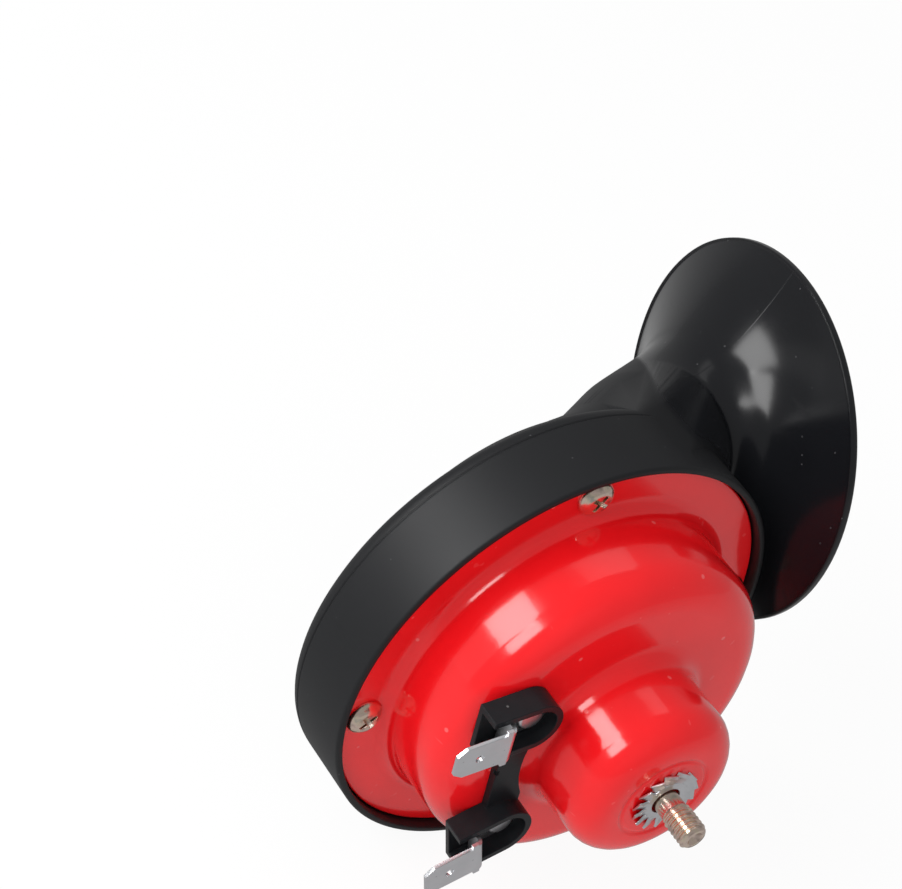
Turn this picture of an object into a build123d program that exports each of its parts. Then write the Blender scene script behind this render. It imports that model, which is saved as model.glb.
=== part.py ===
from build123d import *
import math
import os

# Electric disc horn with a spiral ("snail") trumpet, for a 12 V car circuit.
# A drawn steel housing holds the magnet coil and the contact breaker, a steel
# diaphragm is clamped between its flange and the trumpet, and the moulded
# trumpet leads the sound round the front of the drum to a flared bell.
#
# Working frame: the origin is the centre of the flange's rear face, +Y points
# forwards to the trumpet, +Z is up and +X is the way the bell points. Depths
# behind the flange are written as positive "rear" values along -Y. At the end
# everything is moved so that the origin is the mounting stud's seat.

# ---------------------------------------------------------------- housing
flange_radius = 47.6
flange_width = 10.2
dome_depth = 21.0
dome_shoulder = 7.6
turret_radius = 18.1
turret_depth = 40.0
turret_shoulder = 6.6
turret_groove_radius = 9.6
turret_groove_depth = 0.5
housing_sheet = 1.2
flange_bend = 1.6
turret_bend = 3.0

# ---------------------------------------------------------------- clamped stack
gasket_thickness = 0.4
gasket_width = 8.0
diaphragm_sheet = 0.4
diaphragm_ripple = 0.7
diaphragm_ripple_from_dome = 12.4
diaphragm_ripple_width = 6.0
stack_clearance = 0.3

# ---------------------------------------------------------------- trumpet drum
lip_height = 2.2
lip_wall = 1.5
drum_part_line = 13.3
drum_front = 17.3
drum_edge_radius = 3.9
chamber_depth = 2.6
chamber_step = 1.0
partition_wall = 1.6
throat_radius = 8.0
throat_depth = 3.0
front_wall = 2.0

# ---------------------------------------------------------------- spiral duct and bell
duct_wall = 2.0
duct_wall_spare = 1.25
duct_start_angle = 207.0
duct_start_radius = 4.2
duct_start_from_edge = 11.4
duct_start_growth = 0.65
duct_top_radius = 14.5
duct_top_from_edge = 20.3
duct_centre_depth = 13.8
duct_stations = 10
neck_radius = 16.9
neck_growth = 0.75
neck_stations = 18
neck_station_spread = 1.6
bell_past_drum = 7.9
bell_length = 27.6
bell_flare = 2.85
bell_straight = 11.0
bell_radius = 39.5
bell_axis_depth = 27.8
bell_axis_drop = 4.7
bell_tilt = 0.13
bell_lift = 0.03
bell_lean_start = 20.0
rim_bead = 2.0
rim_bead_height = 0.5
rim_bead_rounding = 0.8
rim_bead_overlap = 0.3
neck_joint_step = 0.6
inner_channel_width = 9.0
inner_channel_turn = 290.0
inner_channel_end_gap = 2.0

# ---------------------------------------------------------------- web between the drum and the neck
web_start = 9.5
web_end = 36.0
web_top_rear_drop = 0.9
web_end_top = 41.6
web_end_rear = 12.5
web_end_shoulder = 38.0
web_depth = 13.0
web_foot = 28.0

# ---------------------------------------------------------------- nameless panel on the front
panel_recess = 0.5
panel_right = 27.5
panel_right_top = 3.0
panel_right_foot = -20.0
panel_bottom = -33.0
panel_bottom_at = 2.0
panel_left = -20.5
panel_left_foot = -24.0
panel_left_bow = 0.6
panel_corner = 6.0
panel_to_duct = 3.5
panel_start_angle = 168.0

# ---------------------------------------------------------------- flange screws
screw_from_edge = 4.7
screw_first_angle = 100.0
screw_count = 4
screw_radius = 1.75
screw_length = 11.0
screw_head_radius = 3.9
screw_head_height = 2.0
screw_head_rounding = 1.6
screw_seat_overlap = 0.5
screw_hole_clearance = 0.4

# ---------------------------------------------------------------- mounting stud and core
stud_radius = 3.0
stud_length = 9.6
stud_chamfer = 0.7
stud_relief = 0.3
stud_tip_recess_radius = 1.5
washer_thickness = 1.0
washer_radius = 7.1
washer_teeth = 14
washer_tooth_length = 2.0
washer_gap = 1.1
washer_bore_clearance = 0.15
core_radius = 7.5
core_gap = 0.8
bobbin_end_gap = 0.5

# ---------------------------------------------------------------- coil and magnet parts
bobbin_wall = 1.2
bobbin_clearance = 0.4
bobbin_seat = 0.1
coil_fill = 0.4
yoke_thickness = 2.0
yoke_from_dome = 9.4
yoke_chord = 15.0
armature_radius = 10.5
armature_air_gap = 0.8
armature_collar_radius = 12.6
armature_collar_height = 1.2
armature_neck_radius = 7.0
armature_neck_start = 9.0
armature_stem_radius = 3.9
armature_washer_radius = 12.0
armature_washer_thickness = 1.0
armature_nut_across = 12.0
armature_nut_height = 2.0
armature_stem_past_nut = 0.3
armature_collar_gap = 0.3

# ---------------------------------------------------------------- terminals
blade_foot_width = 8.0
blade_shoulder_width = 9.2
blade_shoulder_start = 0.8
blade_shoulder_end = 2.2
blade_width = 7.6
blade_sheet = 0.8
blade_length = 12.6
blade_height = 28.0
blade_hole_radius = 0.9
blade_hole_from_tip = 5.2
blade_tip_chamfer = 2.0
blade_tip_slant = 1.4
blade_bend = 1.2
foot_behind_rivet = 4.0
foot_trim = 1.0
riser_from_rivet = 6.6
cup_length = 16.0
cup_width = 11.4
cup_wall = 1.4
cup_height = 5.4
cup_floor = 1.2
cup_behind_rivet = 5.4
cup_slot_clearance = 0.3
insulator_turret_gap = 0.3
arm_width = 7.4
arm_thickness = 1.8
arm_notch = 1.2
arm_notch_places = (0.36, 0.5)
terminal_rivet_radius = 1.6
terminal_rivet_head = 2.9
terminal_rivet_head_height = 1.0
terminal_rivet_rounding = 0.7
inner_insulator_thickness = 1.0
inner_insulator_radius = 4.6
insulator_boss_radius = 2.6
insulator_boss_clearance = 0.1
upper_rivet_angle = 155.1
upper_rivet_outward = 0.7
lower_rivet_angle = 222.1
upper_blade_angle = 189.0
lower_blade_angle = 201.0

# ---------------------------------------------------------------- contact breaker
contact_from_yoke_edge = 5.5
contact_block_length = 8.0
contact_block_width = 9.0
contact_block_height = 2.6
contact_insulator_thickness = 1.0
contact_leaf_sheet = 0.3
contact_leaf_width = 6.0
contact_strip_thickness = 1.0
contact_strip_reach = 13.4
contact_leaf_reach = 11.2
contact_tip_radius = 2.0
contact_tip_height = 0.5
contact_tip_at = 15.9
contact_rivet_radius = 1.4
contact_rivet_head = 2.8
contact_rivet_head_height = 1.0
contact_rivet_foot = 0.5
contact_hole_clearance = 0.1

# ---------------------------------------------------------------- worked out from the above
dome_radius = flange_radius - flange_width
drum_radius = flange_radius + stack_clearance + lip_wall
seat_plane = housing_sheet + 2 * gasket_thickness + diaphragm_sheet
diaphragm_rear = housing_sheet + gasket_thickness
diaphragm_front = diaphragm_rear + diaphragm_sheet
partition_front = seat_plane + chamber_depth + partition_wall
turret_inside = turret_depth - housing_sheet
dome_inside = dome_depth - housing_sheet
stud_seat = turret_depth + washer_thickness
chamber_radius = flange_radius - gasket_width - chamber_step
screw_circle_radius = flange_radius - screw_from_edge
screw_angles = [screw_first_angle + index * 360 / screw_count for index in range(screw_count)]
diaphragm_ripple_radius = dome_radius - diaphragm_ripple_from_dome
yoke_radius = dome_radius - yoke_from_dome
contact_radius_out = yoke_radius - contact_from_yoke_edge
duct_start_distance = drum_radius - duct_start_from_edge
duct_top_distance = drum_radius - duct_top_from_edge
bell_reach = drum_radius + bell_past_drum
bell_start = bell_reach - bell_length
bell_axis_height = duct_top_distance - bell_axis_drop
neck_level_at = bell_reach - bell_straight
terminal_circle_radius = (dome_radius + turret_radius) / 2


def ring(outer, inner, rear, front):
    """A flat ring or, with no inner radius, a disc between two depths along +Y."""
    disc = Pos(0, rear, 0) * Rot(-90, 0, 0) * Cylinder(
        outer, front - rear, align=(Align.CENTER, Align.CENTER, Align.MIN))
    if inner > 0:
        disc -= Pos(0, rear, 0) * Rot(-90, 0, 0) * Cylinder(
            inner, front - rear, align=(Align.CENTER, Align.CENTER, Align.MIN))
    return disc


def pin(radius, x, z, rear, front):
    """A cylinder along Y at a place on the horn's face."""
    return Pos(x, 0, z) * ring(radius, 0, rear, front)


def on_circle(distance, degrees):
    """X and Z of a point at a distance and an angle from +X towards +Z."""
    angle = math.radians(degrees)
    return distance * math.cos(angle), distance * math.sin(angle)


upper_rivet = on_circle(terminal_circle_radius + upper_rivet_outward, upper_rivet_angle)
lower_rivet = on_circle(terminal_circle_radius, lower_rivet_angle)


def turned(profile):
    """Turn a profile drawn as (radius, Y) about the horn's axis."""
    return revolve(profile, Axis.Y)


def smooth(value):
    """Ease from 0 to 1 with level, unbent ends."""
    limited = min(max(value, 0.0), 1.0)
    return limited ** 3 * (limited * (6 * limited - 15) + 10)


# ---------------------------------------------------------------- housing
def cup_profile(inset):
    """Half section of the drawn housing's outside, or of its inside at one sheet's inset."""
    outer_bend = flange_bend + inset
    dome = dome_radius - inset
    turret = turret_radius - inset
    dome_end = -(dome_depth - inset)
    turret_end = -(turret_depth - inset)
    shoulder = dome_shoulder - inset
    crown = turret_shoulder - inset
    bend = turret_bend + inset
    rear = 0.0 if inset == 0 else housing_sheet
    outline = Polyline(
        (0, rear),
        (dome + outer_bend, rear),
    )
    outline += RadiusArc((dome + outer_bend, rear), (dome, rear - outer_bend), -outer_bend)
    outline += Line((dome, rear - outer_bend), (dome, dome_end + shoulder))
    outline += RadiusArc((dome, dome_end + shoulder), (dome - shoulder, dome_end), shoulder)
    outline += Line((dome - shoulder, dome_end), (turret + bend, dome_end))
    outline += RadiusArc((turret + bend, dome_end), (turret, dome_end - bend), -bend)
    outline += Line((turret, dome_end - bend), (turret, turret_end + crown))
    outline += RadiusArc((turret, turret_end + crown), (turret - crown, turret_end), crown)
    outline += Polyline((turret - crown, turret_end), (0, turret_end), (0, rear))
    return make_face(outline)


def make_housing():
    outside = turned(cup_profile(0)) + ring(flange_radius, 0, 0, housing_sheet)
    housing = outside - turned(cup_profile(housing_sheet))
    groove = Pos(0, -turret_depth, 0) * Rot(90, 0, 0) * Torus(turret_groove_radius, turret_groove_depth)
    housing -= groove
    housing -= ring(stud_radius + screw_hole_clearance, 0, -turret_depth - 1, -turret_inside + 1)
    for angle in screw_angles:
        x, z = on_circle(screw_circle_radius, angle)
        housing -= pin(screw_radius + screw_hole_clearance, x, z, -1, housing_sheet + 1)
    for x, z in (upper_rivet, lower_rivet):
        hole = insulator_boss_radius + insulator_boss_clearance
        housing -= pin(hole, x, z, -dome_depth - 1, -dome_inside + 1)
    return housing


# ---------------------------------------------------------------- diaphragm stack
def screw_holes(radius, rear, front):
    holes = []
    for angle in screw_angles:
        x, z = on_circle(screw_circle_radius, angle)
        holes.append(pin(radius, x, z, rear, front))
    return holes


def make_gasket(rear):
    gasket = ring(flange_radius, flange_radius - gasket_width, rear, rear + gasket_thickness)
    for hole in screw_holes(screw_radius + screw_hole_clearance, rear - 1, rear + 2):
        gasket -= hole
    return gasket


def make_diaphragm():
    inner = diaphragm_ripple_radius - diaphragm_ripple_width / 2
    outer = diaphragm_ripple_radius + diaphragm_ripple_width / 2
    low = diaphragm_rear
    high = diaphragm_front
    crest = diaphragm_ripple
    lower = Polyline((0, low), (inner, low))
    lower += ThreePointArc((inner, low), (diaphragm_ripple_radius, low + crest), (outer, low))
    lower += Line((outer, low), (flange_radius, low))
    upper = Polyline((flange_radius, low), (flange_radius, high), (outer, high))
    upper += ThreePointArc((outer, high), (diaphragm_ripple_radius, high + crest), (inner, high))
    upper += Polyline((inner, high), (0, high), (0, low))
    diaphragm = turned(make_face(lower + upper))
    diaphragm -= ring(armature_stem_radius, 0, low - 1, high + 1)
    for hole in screw_holes(screw_radius + screw_hole_clearance, low - 1, high + 1):
        diaphragm -= hole
    return diaphragm


# ---------------------------------------------------------------- trumpet
def duct_centre(along):
    """Centre of the duct from its blind end (0) through the drum's top (0.5) to the rim (1)."""
    if along <= 0.5:
        part = along / 0.5
        distance = duct_top_distance + (duct_start_distance - duct_top_distance) * (1 - part) ** 2
        angle = duct_start_angle + (90 - duct_start_angle) * part
        x, z = on_circle(distance, angle)
        return Vector(x, duct_centre_depth, z)
    x = bell_reach * (along - 0.5) / 0.5
    sweep_out = smooth(x / neck_level_at)
    y = duct_centre_depth + (bell_axis_depth - duct_centre_depth) * sweep_out
    z = duct_top_distance + (bell_axis_height - duct_top_distance) * sweep_out
    past_level = max(x - neck_level_at, 0)
    lean = (bell_straight ** 2 - past_level ** 2) / (2 * bell_straight)
    lean *= smooth((x - bell_lean_start) / (neck_level_at - bell_lean_start))
    return Vector(x, y + bell_tilt * lean, z - bell_lift * lean)


def duct_radius(along):
    """Outside radius of the duct at the same station."""
    if along <= 0.5:
        return duct_start_radius + (duct_top_radius - duct_start_radius) * (along / 0.5) ** duct_start_growth
    x = bell_reach * (along - 0.5) / 0.5
    growth = min(x / bell_start, 1) ** neck_growth
    radius = duct_top_radius + (neck_radius - duct_top_radius) * growth
    flare = max(x - bell_start, 0) / bell_length
    return radius + (bell_radius - neck_radius) * flare ** bell_flare


def duct_slope(along):
    """How steeply the outside radius grows along the centre line."""
    ahead = min(along + 0.002, 1.0)
    behind = max(along - 0.002, 0.0)
    run = (duct_centre(ahead) - duct_centre(behind)).length
    return (duct_radius(ahead) - duct_radius(behind)) / run


def duct_inset(along, wall):
    """How much smaller a section of the bore is, so that the sloping wall keeps its thickness."""
    return wall * math.hypot(1, duct_wall_spare * duct_slope(along))


def duct_solid(wall, past_rim):
    """The duct and bell as one loft through round sections square to the centre line."""
    scroll = [0.5 * index / duct_stations for index in range(duct_stations)]
    neck = []
    for index in range(neck_stations + 1):
        neck.append(1.0 - 0.5 * (1 - index / neck_stations) ** neck_station_spread)
    sections = []
    for along in scroll + neck:
        centre = duct_centre(along)
        ahead = duct_centre(min(along + 0.004, 1.0))
        behind = duct_centre(max(along - 0.004, 0.0))
        plane = Plane(origin=centre, x_dir=(0, 1, 0), z_dir=ahead - behind)
        sections.append(plane * Circle(duct_radius(along) - duct_inset(along, wall)))
    if past_rim > 0:
        mouth = bell_radius - duct_inset(1.0, wall) + past_rim * duct_slope(1.0)
        sections.append(rim_plane(past_rim) * Circle(mouth))
    return loft(sections)


def rim_plane(past_rim):
    """Plane square to the bell's axis, at a distance in front of the rim's plane."""
    rim = Plane(origin=duct_centre(1.0), x_dir=(0, 1, 0), z_dir=(1, -bell_tilt, bell_lift))
    return rim.offset(past_rim)


def inner_channel():
    """The hidden first turn, from the throat at the drum's centre out to the duct's blind end."""
    steps = 10
    rear = partition_front
    front = drum_front - front_wall
    middle = []
    for index in range(steps + 1):
        part = index / steps
        angle = duct_start_angle + inner_channel_turn * (1 - part)
        distance = throat_radius * (1 - part) + (duct_start_distance - inner_channel_end_gap) * part
        middle.append(on_circle(distance, angle))
    half = inner_channel_width / 2
    path = Plane.XZ * Spline(*middle)
    profile = Plane(origin=path @ 0, z_dir=path % 0, x_dir=(0, 1, 0)) * Rectangle(front - rear, half * 2)
    channel = sweep(profile, path)
    return Pos(0, (rear + front) / 2, 0) * channel


def front_panel():
    """Outline of the shallow bare panel inside the spiral, drawn as (X, Z)."""
    duct_inside = duct_top_distance - duct_top_radius
    left_foot = (panel_left, panel_left_foot)
    left_middle = (panel_left + panel_left_bow, panel_left_foot / 2)
    left_top = on_circle(duct_inside + panel_to_duct, panel_start_angle)
    top = (0, duct_inside - panel_to_duct)
    right_top = (panel_right, panel_right_top)
    right_foot = (panel_right, panel_right_foot)
    corner = (panel_right - panel_corner, panel_right_foot - panel_corner)
    rising = (panel_left / 3, (left_top[1] + top[1]) / 2 + panel_left_bow)
    falling = (panel_right / 2, (top[1] + right_top[1]) / 2 + 2 * panel_left_bow)
    outline = ThreePointArc(left_foot, left_middle, left_top)
    outline += ThreePointArc(left_top, rising, top)
    outline += ThreePointArc(top, falling, right_top)
    outline += Polyline(right_top, right_foot, corner)
    outline += ThreePointArc(corner, (panel_bottom_at, panel_bottom), left_foot)
    return make_face(outline)


def make_trumpet():
    """The whole moulding, then split on the drum's part line into its two pieces."""
    drum = ring(drum_radius, 0, -lip_height, drum_front)
    front_edge = drum.edges().filter_by(GeomType.CIRCLE).sort_by(Axis.Y)[-1]
    drum = fillet(front_edge, drum_edge_radius)
    lip_middle = drum_radius - lip_wall / 2
    duct = duct_solid(0, 0) - ring(lip_middle, 0, -bell_radius, seat_plane)
    blind_end = Pos(duct_centre(0)) * Sphere(duct_start_radius)
    outside = duct + make_rim() + drum + blind_end + make_web()

    bore = duct_solid(duct_wall, rim_bead)
    bore -= ring(drum_radius + neck_joint_step / 2, 0, -bell_radius, partition_front)
    whole = outside - bore
    whole -= ring(flange_radius + stack_clearance, 0, -lip_height - 1, seat_plane)
    whole -= ring(chamber_radius, 0, seat_plane - 1, seat_plane + chamber_depth)
    whole -= ring(throat_radius, 0, seat_plane, partition_front + throat_depth)
    whole -= inner_channel()
    for hole in screw_holes(screw_radius, seat_plane - 1, -screw_head_height + screw_length + 1):
        whole -= hole
    panel = extrude(Plane.XZ * front_panel(), amount=-drum_front)
    whole -= Pos(0, drum_front - panel_recess, 0) * panel

    rear_space = ring(drum_radius + neck_joint_step, 0, -lip_height - 1, drum_part_line)
    return whole & rear_space, whole - rear_space


def make_rim():
    """The rounded bead that stiffens the edge of the bell."""
    bead = Cylinder(bell_radius + rim_bead_height, rim_bead, align=(Align.CENTER, Align.CENTER, Align.MIN))
    bead = fillet(bead.edges().filter_by(GeomType.CIRCLE).sort_by(Axis.Z)[-1], rim_bead_rounding)
    bead = chamfer(bead.edges().filter_by(GeomType.CIRCLE).sort_by(Axis.Z)[0], rim_bead_height / 2)
    return rim_plane(-rim_bead_overlap) * bead


def make_web():
    """The wall that carries the drum's top straight on into the neck."""
    start_top = math.sqrt(drum_radius ** 2 - web_start ** 2)
    start = [
        (seat_plane, web_foot),
        (seat_plane, start_top - web_top_rear_drop),
        (web_depth, start_top),
        (web_depth, web_foot),
    ]
    end = [
        (web_end_rear, web_foot),
        (web_end_rear, web_end_shoulder),
        (web_end_rear + web_depth, web_end_top),
        (web_end_rear + web_depth, web_foot),
    ]
    sections = []
    for x, corners in ((web_start, start), (web_end, end)):
        sections.append(make_face(Polyline([(x, y, z) for y, z in corners], close=True)))
    return loft(sections, ruled=True)


# ---------------------------------------------------------------- screws, stud, washer
def make_screw(angle):
    x, z = on_circle(screw_circle_radius, angle)
    head = ring(screw_head_radius, 0, -screw_head_height, 0)
    rear_edge = head.edges().filter_by(GeomType.CIRCLE).sort_by(Axis.Y)[0]
    head = fillet(rear_edge, screw_head_rounding)
    screw = head + ring(screw_radius, 0, -screw_seat_overlap, screw_length - screw_head_height)
    return Pos(x, 0, z) * screw


def make_core_stud():
    """Magnet core with the threaded mounting stud turned on its rear end."""
    core_front = -(dome_inside + bobbin_end_gap)
    half = [
        (0, core_front),
        (core_radius, core_front),
        (core_radius, -turret_inside),
        (stud_radius - stud_relief, -turret_inside),
        (stud_radius - stud_relief, -stud_seat),
        (stud_radius, -stud_seat),
        (stud_radius, -(stud_seat + stud_length - stud_chamfer)),
        (stud_radius - stud_chamfer, -(stud_seat + stud_length)),
        (stud_tip_recess_radius, -(stud_seat + stud_length)),
        (0, -(stud_seat + stud_length - stud_tip_recess_radius)),
        (0, core_front),
    ]
    return turned(make_face(Polyline(*half)))


def make_lock_washer():
    washer = ring(washer_radius, stud_radius + washer_bore_clearance, -stud_seat, -turret_depth)
    for index in range(washer_teeth):
        gap = Pos(washer_radius, 0, 0) * Box(2 * washer_tooth_length, 4 * washer_thickness, washer_gap)
        gap = Pos(0, -turret_depth, 0) * Rot(0, index * 360 / washer_teeth, 0) * gap
        washer -= gap
    return washer


# ---------------------------------------------------------------- coil and magnet
def make_bobbin():
    outer = turret_radius - housing_sheet - bobbin_clearance
    rear = -turret_inside + bobbin_seat
    front = -(dome_inside + bobbin_end_gap)
    hub = core_radius + bobbin_clearance
    bobbin = ring(hub + bobbin_wall, hub, rear, front)
    bobbin += ring(outer - turret_shoulder, hub, rear, rear + bobbin_wall)
    bobbin += ring(outer, hub, front - bobbin_wall, front)
    return bobbin


def make_coil():
    outer = turret_radius - housing_sheet - bobbin_clearance - coil_fill
    inner = core_radius + bobbin_clearance + bobbin_wall
    rear = -turret_inside + bobbin_seat + bobbin_wall
    front = -(dome_inside + bobbin_end_gap + bobbin_wall)
    coil = ring(outer, inner, rear, front)
    rear_edge = coil.edges().filter_by(GeomType.CIRCLE).filter_by(
        lambda edge: edge.radius > inner + 1).sort_by(Axis.Y)[0]
    return fillet(rear_edge, turret_shoulder - housing_sheet)


def make_yoke():
    hole = armature_radius + armature_air_gap
    plate = ring(yoke_radius, hole, -dome_inside, -dome_inside + yoke_thickness)
    cut = Pos(-yoke_chord, -dome_inside, 0) * Box(2 * yoke_radius, 4 * yoke_thickness, 3 * yoke_radius,
                                                  align=(Align.MAX, Align.CENTER, Align.CENTER))
    return plate - cut


def make_armature():
    """Iron armature on the diaphragm's rear, with the collar that trips the contacts."""
    rear = -(dome_inside + bobbin_end_gap) + core_gap
    collar_rear = -contact_leaf_top() + armature_collar_gap
    washer_rear = diaphragm_rear - armature_washer_thickness
    armature = ring(armature_radius, 0, rear, -armature_neck_start)
    armature += ring(armature_collar_radius, 0, collar_rear, collar_rear + armature_collar_height)
    armature += ring(armature_neck_radius, 0, -armature_neck_start, washer_rear)
    stem_front = diaphragm_front + armature_nut_height + armature_stem_past_nut
    armature += ring(armature_stem_radius, 0, washer_rear, stem_front)
    return armature


def make_armature_washer():
    rear = diaphragm_rear - armature_washer_thickness
    return ring(armature_washer_radius, armature_stem_radius, rear, diaphragm_rear)


def make_armature_nut():
    nut = extrude(Plane.XZ * RegularPolygon(armature_nut_across / 2, 6, major_radius=False),
                  amount=-armature_nut_height)
    nut = Pos(0, diaphragm_front, 0) * nut
    return nut - ring(armature_stem_radius, 0, 0, diaphragm_front + armature_nut_height + 1)


# ---------------------------------------------------------------- terminals
def terminal_plane(rivet, angle, depth):
    """Plane on a terminal's rivet: x runs out along its blade, y across it, z to the rear."""
    x, z = rivet
    direction = math.radians(angle)
    return Plane(origin=(x, -depth, z), x_dir=(math.cos(direction), 0, math.sin(direction)), z_dir=(0, -1, 0))


def cup_outline(inset):
    """D-shaped plan of a terminal cup: round at the turret, square at the outer end."""
    half = cup_width / 2 - inset
    back = -cup_behind_rivet + inset
    front = cup_length - cup_behind_rivet - inset
    outline = Polyline((back + half, half), (front, half), (front, -half), (back + half, -half))
    outline += ThreePointArc((back + half, -half), (back, 0), (back + half, half))
    return make_face(outline)


def make_terminal_insulator():
    (upper_x, upper_z), (lower_x, lower_z) = upper_rivet, lower_rivet
    span = math.hypot(lower_x - upper_x, lower_z - upper_z)
    arm_angle = math.degrees(math.atan2(lower_z - upper_z, lower_x - upper_x))
    arm_plane = terminal_plane(upper_rivet, arm_angle, dome_depth)
    arm = extrude(arm_plane * Pos(span / 2, 0) * Rectangle(span, arm_width), amount=arm_thickness)
    for side in (-1, 1):
        for part in arm_notch_places:
            notch = arm_plane * Pos(span * part, side * arm_width / 2, arm_thickness)
            arm -= notch * Box(arm_notch, arm_notch, arm_thickness)
    insulator = arm
    for rivet, angle in ((upper_rivet, upper_blade_angle), (lower_rivet, lower_blade_angle)):
        plane = terminal_plane(rivet, angle, dome_depth)
        insulator += extrude(plane * cup_outline(0), amount=cup_height)
    for rivet, angle in ((upper_rivet, upper_blade_angle), (lower_rivet, lower_blade_angle)):
        floor = terminal_plane(rivet, angle, dome_depth + cup_floor)
        insulator -= extrude(floor * cup_outline(cup_wall), amount=cup_height)
        slot_width = blade_foot_width + 2 * cup_slot_clearance
        slot = Pos(cup_length - cup_behind_rivet, 0, cup_height / 2) * Box(4 * cup_wall, slot_width, cup_height)
        insulator -= floor * slot
        x, z = rivet
        insulator += pin(insulator_boss_radius, x, z, -dome_depth, -dome_inside)
        insulator -= pin(terminal_rivet_radius, x, z, -dome_depth - cup_height, 0)
    beside_turret = turret_radius + turret_bend + insulator_turret_gap
    return insulator - ring(beside_turret, 0, -turret_depth, -dome_depth)


def make_blade(rivet, angle):
    """A strip bent up from its riveted foot and out again into a flat blade."""
    x, z = rivet
    foot = cup_floor + blade_sheet / 2
    top = blade_height - dome_depth
    end = riser_from_rivet + blade_length
    line = FilletPolyline((-foot_behind_rivet - foot_trim, foot), (riser_from_rivet, foot),
                          (riser_from_rivet, top), (end, top), radius=blade_bend)
    plane = terminal_plane(rivet, angle, dome_depth)
    side = Plane(origin=plane.origin, x_dir=plane.x_dir, z_dir=plane.y_dir)
    if side.y_dir.Y > 0:
        side = Plane(origin=plane.origin, x_dir=plane.x_dir, z_dir=-plane.y_dir)
    strip = extrude(side * trace(line, blade_sheet), amount=blade_shoulder_width / 2, both=True)
    foot_half = blade_foot_width / 2
    wide = blade_shoulder_width / 2
    half = blade_width / 2
    shoulder_start = riser_from_rivet + blade_shoulder_start
    shoulder_end = riser_from_rivet + blade_shoulder_end
    upper_side = [
        (0, foot_half),
        (shoulder_start, foot_half),
        (shoulder_start, wide),
        (shoulder_end, wide),
        (shoulder_end, half),
        (end - blade_tip_chamfer, half),
        (end, half - blade_tip_slant),
    ]
    lower_side = [(along, -across) for along, across in reversed(upper_side)]
    plan = Polyline(*upper_side, *lower_side)
    plan += ThreePointArc((0, -foot_half), (-foot_behind_rivet, 0), (0, foot_half))
    blade = strip & extrude(plane * make_face(plan), amount=blade_height)
    hole = plane * Pos(end - blade_hole_from_tip, 0, top) * Cylinder(blade_hole_radius, 4 * blade_sheet)
    blade -= hole
    blade -= pin(terminal_rivet_radius, x, z, -dome_depth - blade_height, 0)
    return blade


def make_terminal_rivet(rivet):
    x, z = rivet
    head_seat = -(dome_depth + cup_floor + blade_sheet)
    tail_seat = -dome_inside + inner_insulator_thickness
    body = ring(terminal_rivet_radius, 0, head_seat, tail_seat)
    head = ring(terminal_rivet_head, 0, head_seat - terminal_rivet_head_height, head_seat)
    head = fillet(head.edges().filter_by(GeomType.CIRCLE).sort_by(Axis.Y)[0], terminal_rivet_rounding)
    tail = ring(terminal_rivet_head, 0, tail_seat, tail_seat + terminal_rivet_head_height)
    return Pos(x, 0, z) * (body + head + tail)


def make_inner_insulator():
    (upper_x, upper_z), (lower_x, lower_z) = upper_rivet, lower_rivet
    outline = make_hull([
        *(Pos(upper_x, upper_z) * Circle(inner_insulator_radius)).edges(),
        *(Pos(lower_x, lower_z) * Circle(inner_insulator_radius)).edges(),
    ])
    plate = extrude(Plane.XZ * outline, amount=-inner_insulator_thickness)
    plate = Pos(0, -dome_inside, 0) * plate
    plate &= ring(dome_radius - dome_shoulder, 0, -dome_inside - 1, -dome_inside + 5)
    for x, z in (upper_rivet, lower_rivet):
        plate -= pin(terminal_rivet_radius, x, z, -dome_inside - 1, -dome_inside + 5)
    return plate


# ---------------------------------------------------------------- contact breaker
def contact_leaf_top():
    """Depth behind the flange of the moving leaf's front face."""
    under_leaf = yoke_thickness + contact_block_height + contact_insulator_thickness
    return dome_inside - under_leaf - contact_leaf_sheet


def contact_bar(reach, width, rear, thickness):
    """A flat bar from the stack inwards, square to the horn's axis, on the -Z side."""
    outer = contact_radius_out + contact_block_length / 2
    bar = Pos(0, rear, -outer) * Box(width, thickness, outer - reach,
                                     align=(Align.CENTER, Align.MIN, Align.MIN))
    hole = contact_rivet_radius + contact_hole_clearance
    return bar - pin(hole, 0, -contact_radius_out, rear - 1, rear + thickness + 1)


def contact_levels():
    """Rear faces of the stack's layers, from the housing inwards."""
    names = ["block", "first", "leaf", "second", "strip", "third", "head"]
    heights = [contact_block_height, contact_insulator_thickness, contact_leaf_sheet,
               2 * contact_tip_height, contact_strip_thickness, contact_insulator_thickness]
    levels = {}
    depth = -dome_inside + yoke_thickness
    for name, height in zip(names, heights + [0]):
        levels[name] = depth
        depth += height
    return levels


def make_contact_parts():
    levels = contact_levels()
    near = contact_radius_out - contact_block_length / 2
    block = contact_bar(near, contact_block_width, levels["block"], contact_block_height)
    leaf = contact_bar(contact_leaf_reach, contact_leaf_width, levels["leaf"], contact_leaf_sheet)
    strip = contact_bar(contact_strip_reach, contact_leaf_width, levels["strip"], contact_strip_thickness)
    spacers = []
    for name, height in (("first", contact_insulator_thickness), ("second", 2 * contact_tip_height),
                         ("third", contact_insulator_thickness)):
        spacers.append(contact_bar(near, contact_block_width, levels[name], height))
    tips = []
    for rear in (levels["second"], levels["second"] + contact_tip_height):
        tips.append(pin(contact_tip_radius, 0, -contact_tip_at, rear, rear + contact_tip_height))
    rivet = pin(contact_rivet_radius, 0, -contact_radius_out, levels["block"] + contact_rivet_foot, levels["head"])
    rivet += pin(contact_rivet_head, 0, -contact_radius_out, levels["head"],
                 levels["head"] + contact_rivet_head_height)
    return block, leaf, strip, spacers, tips, rivet


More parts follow.
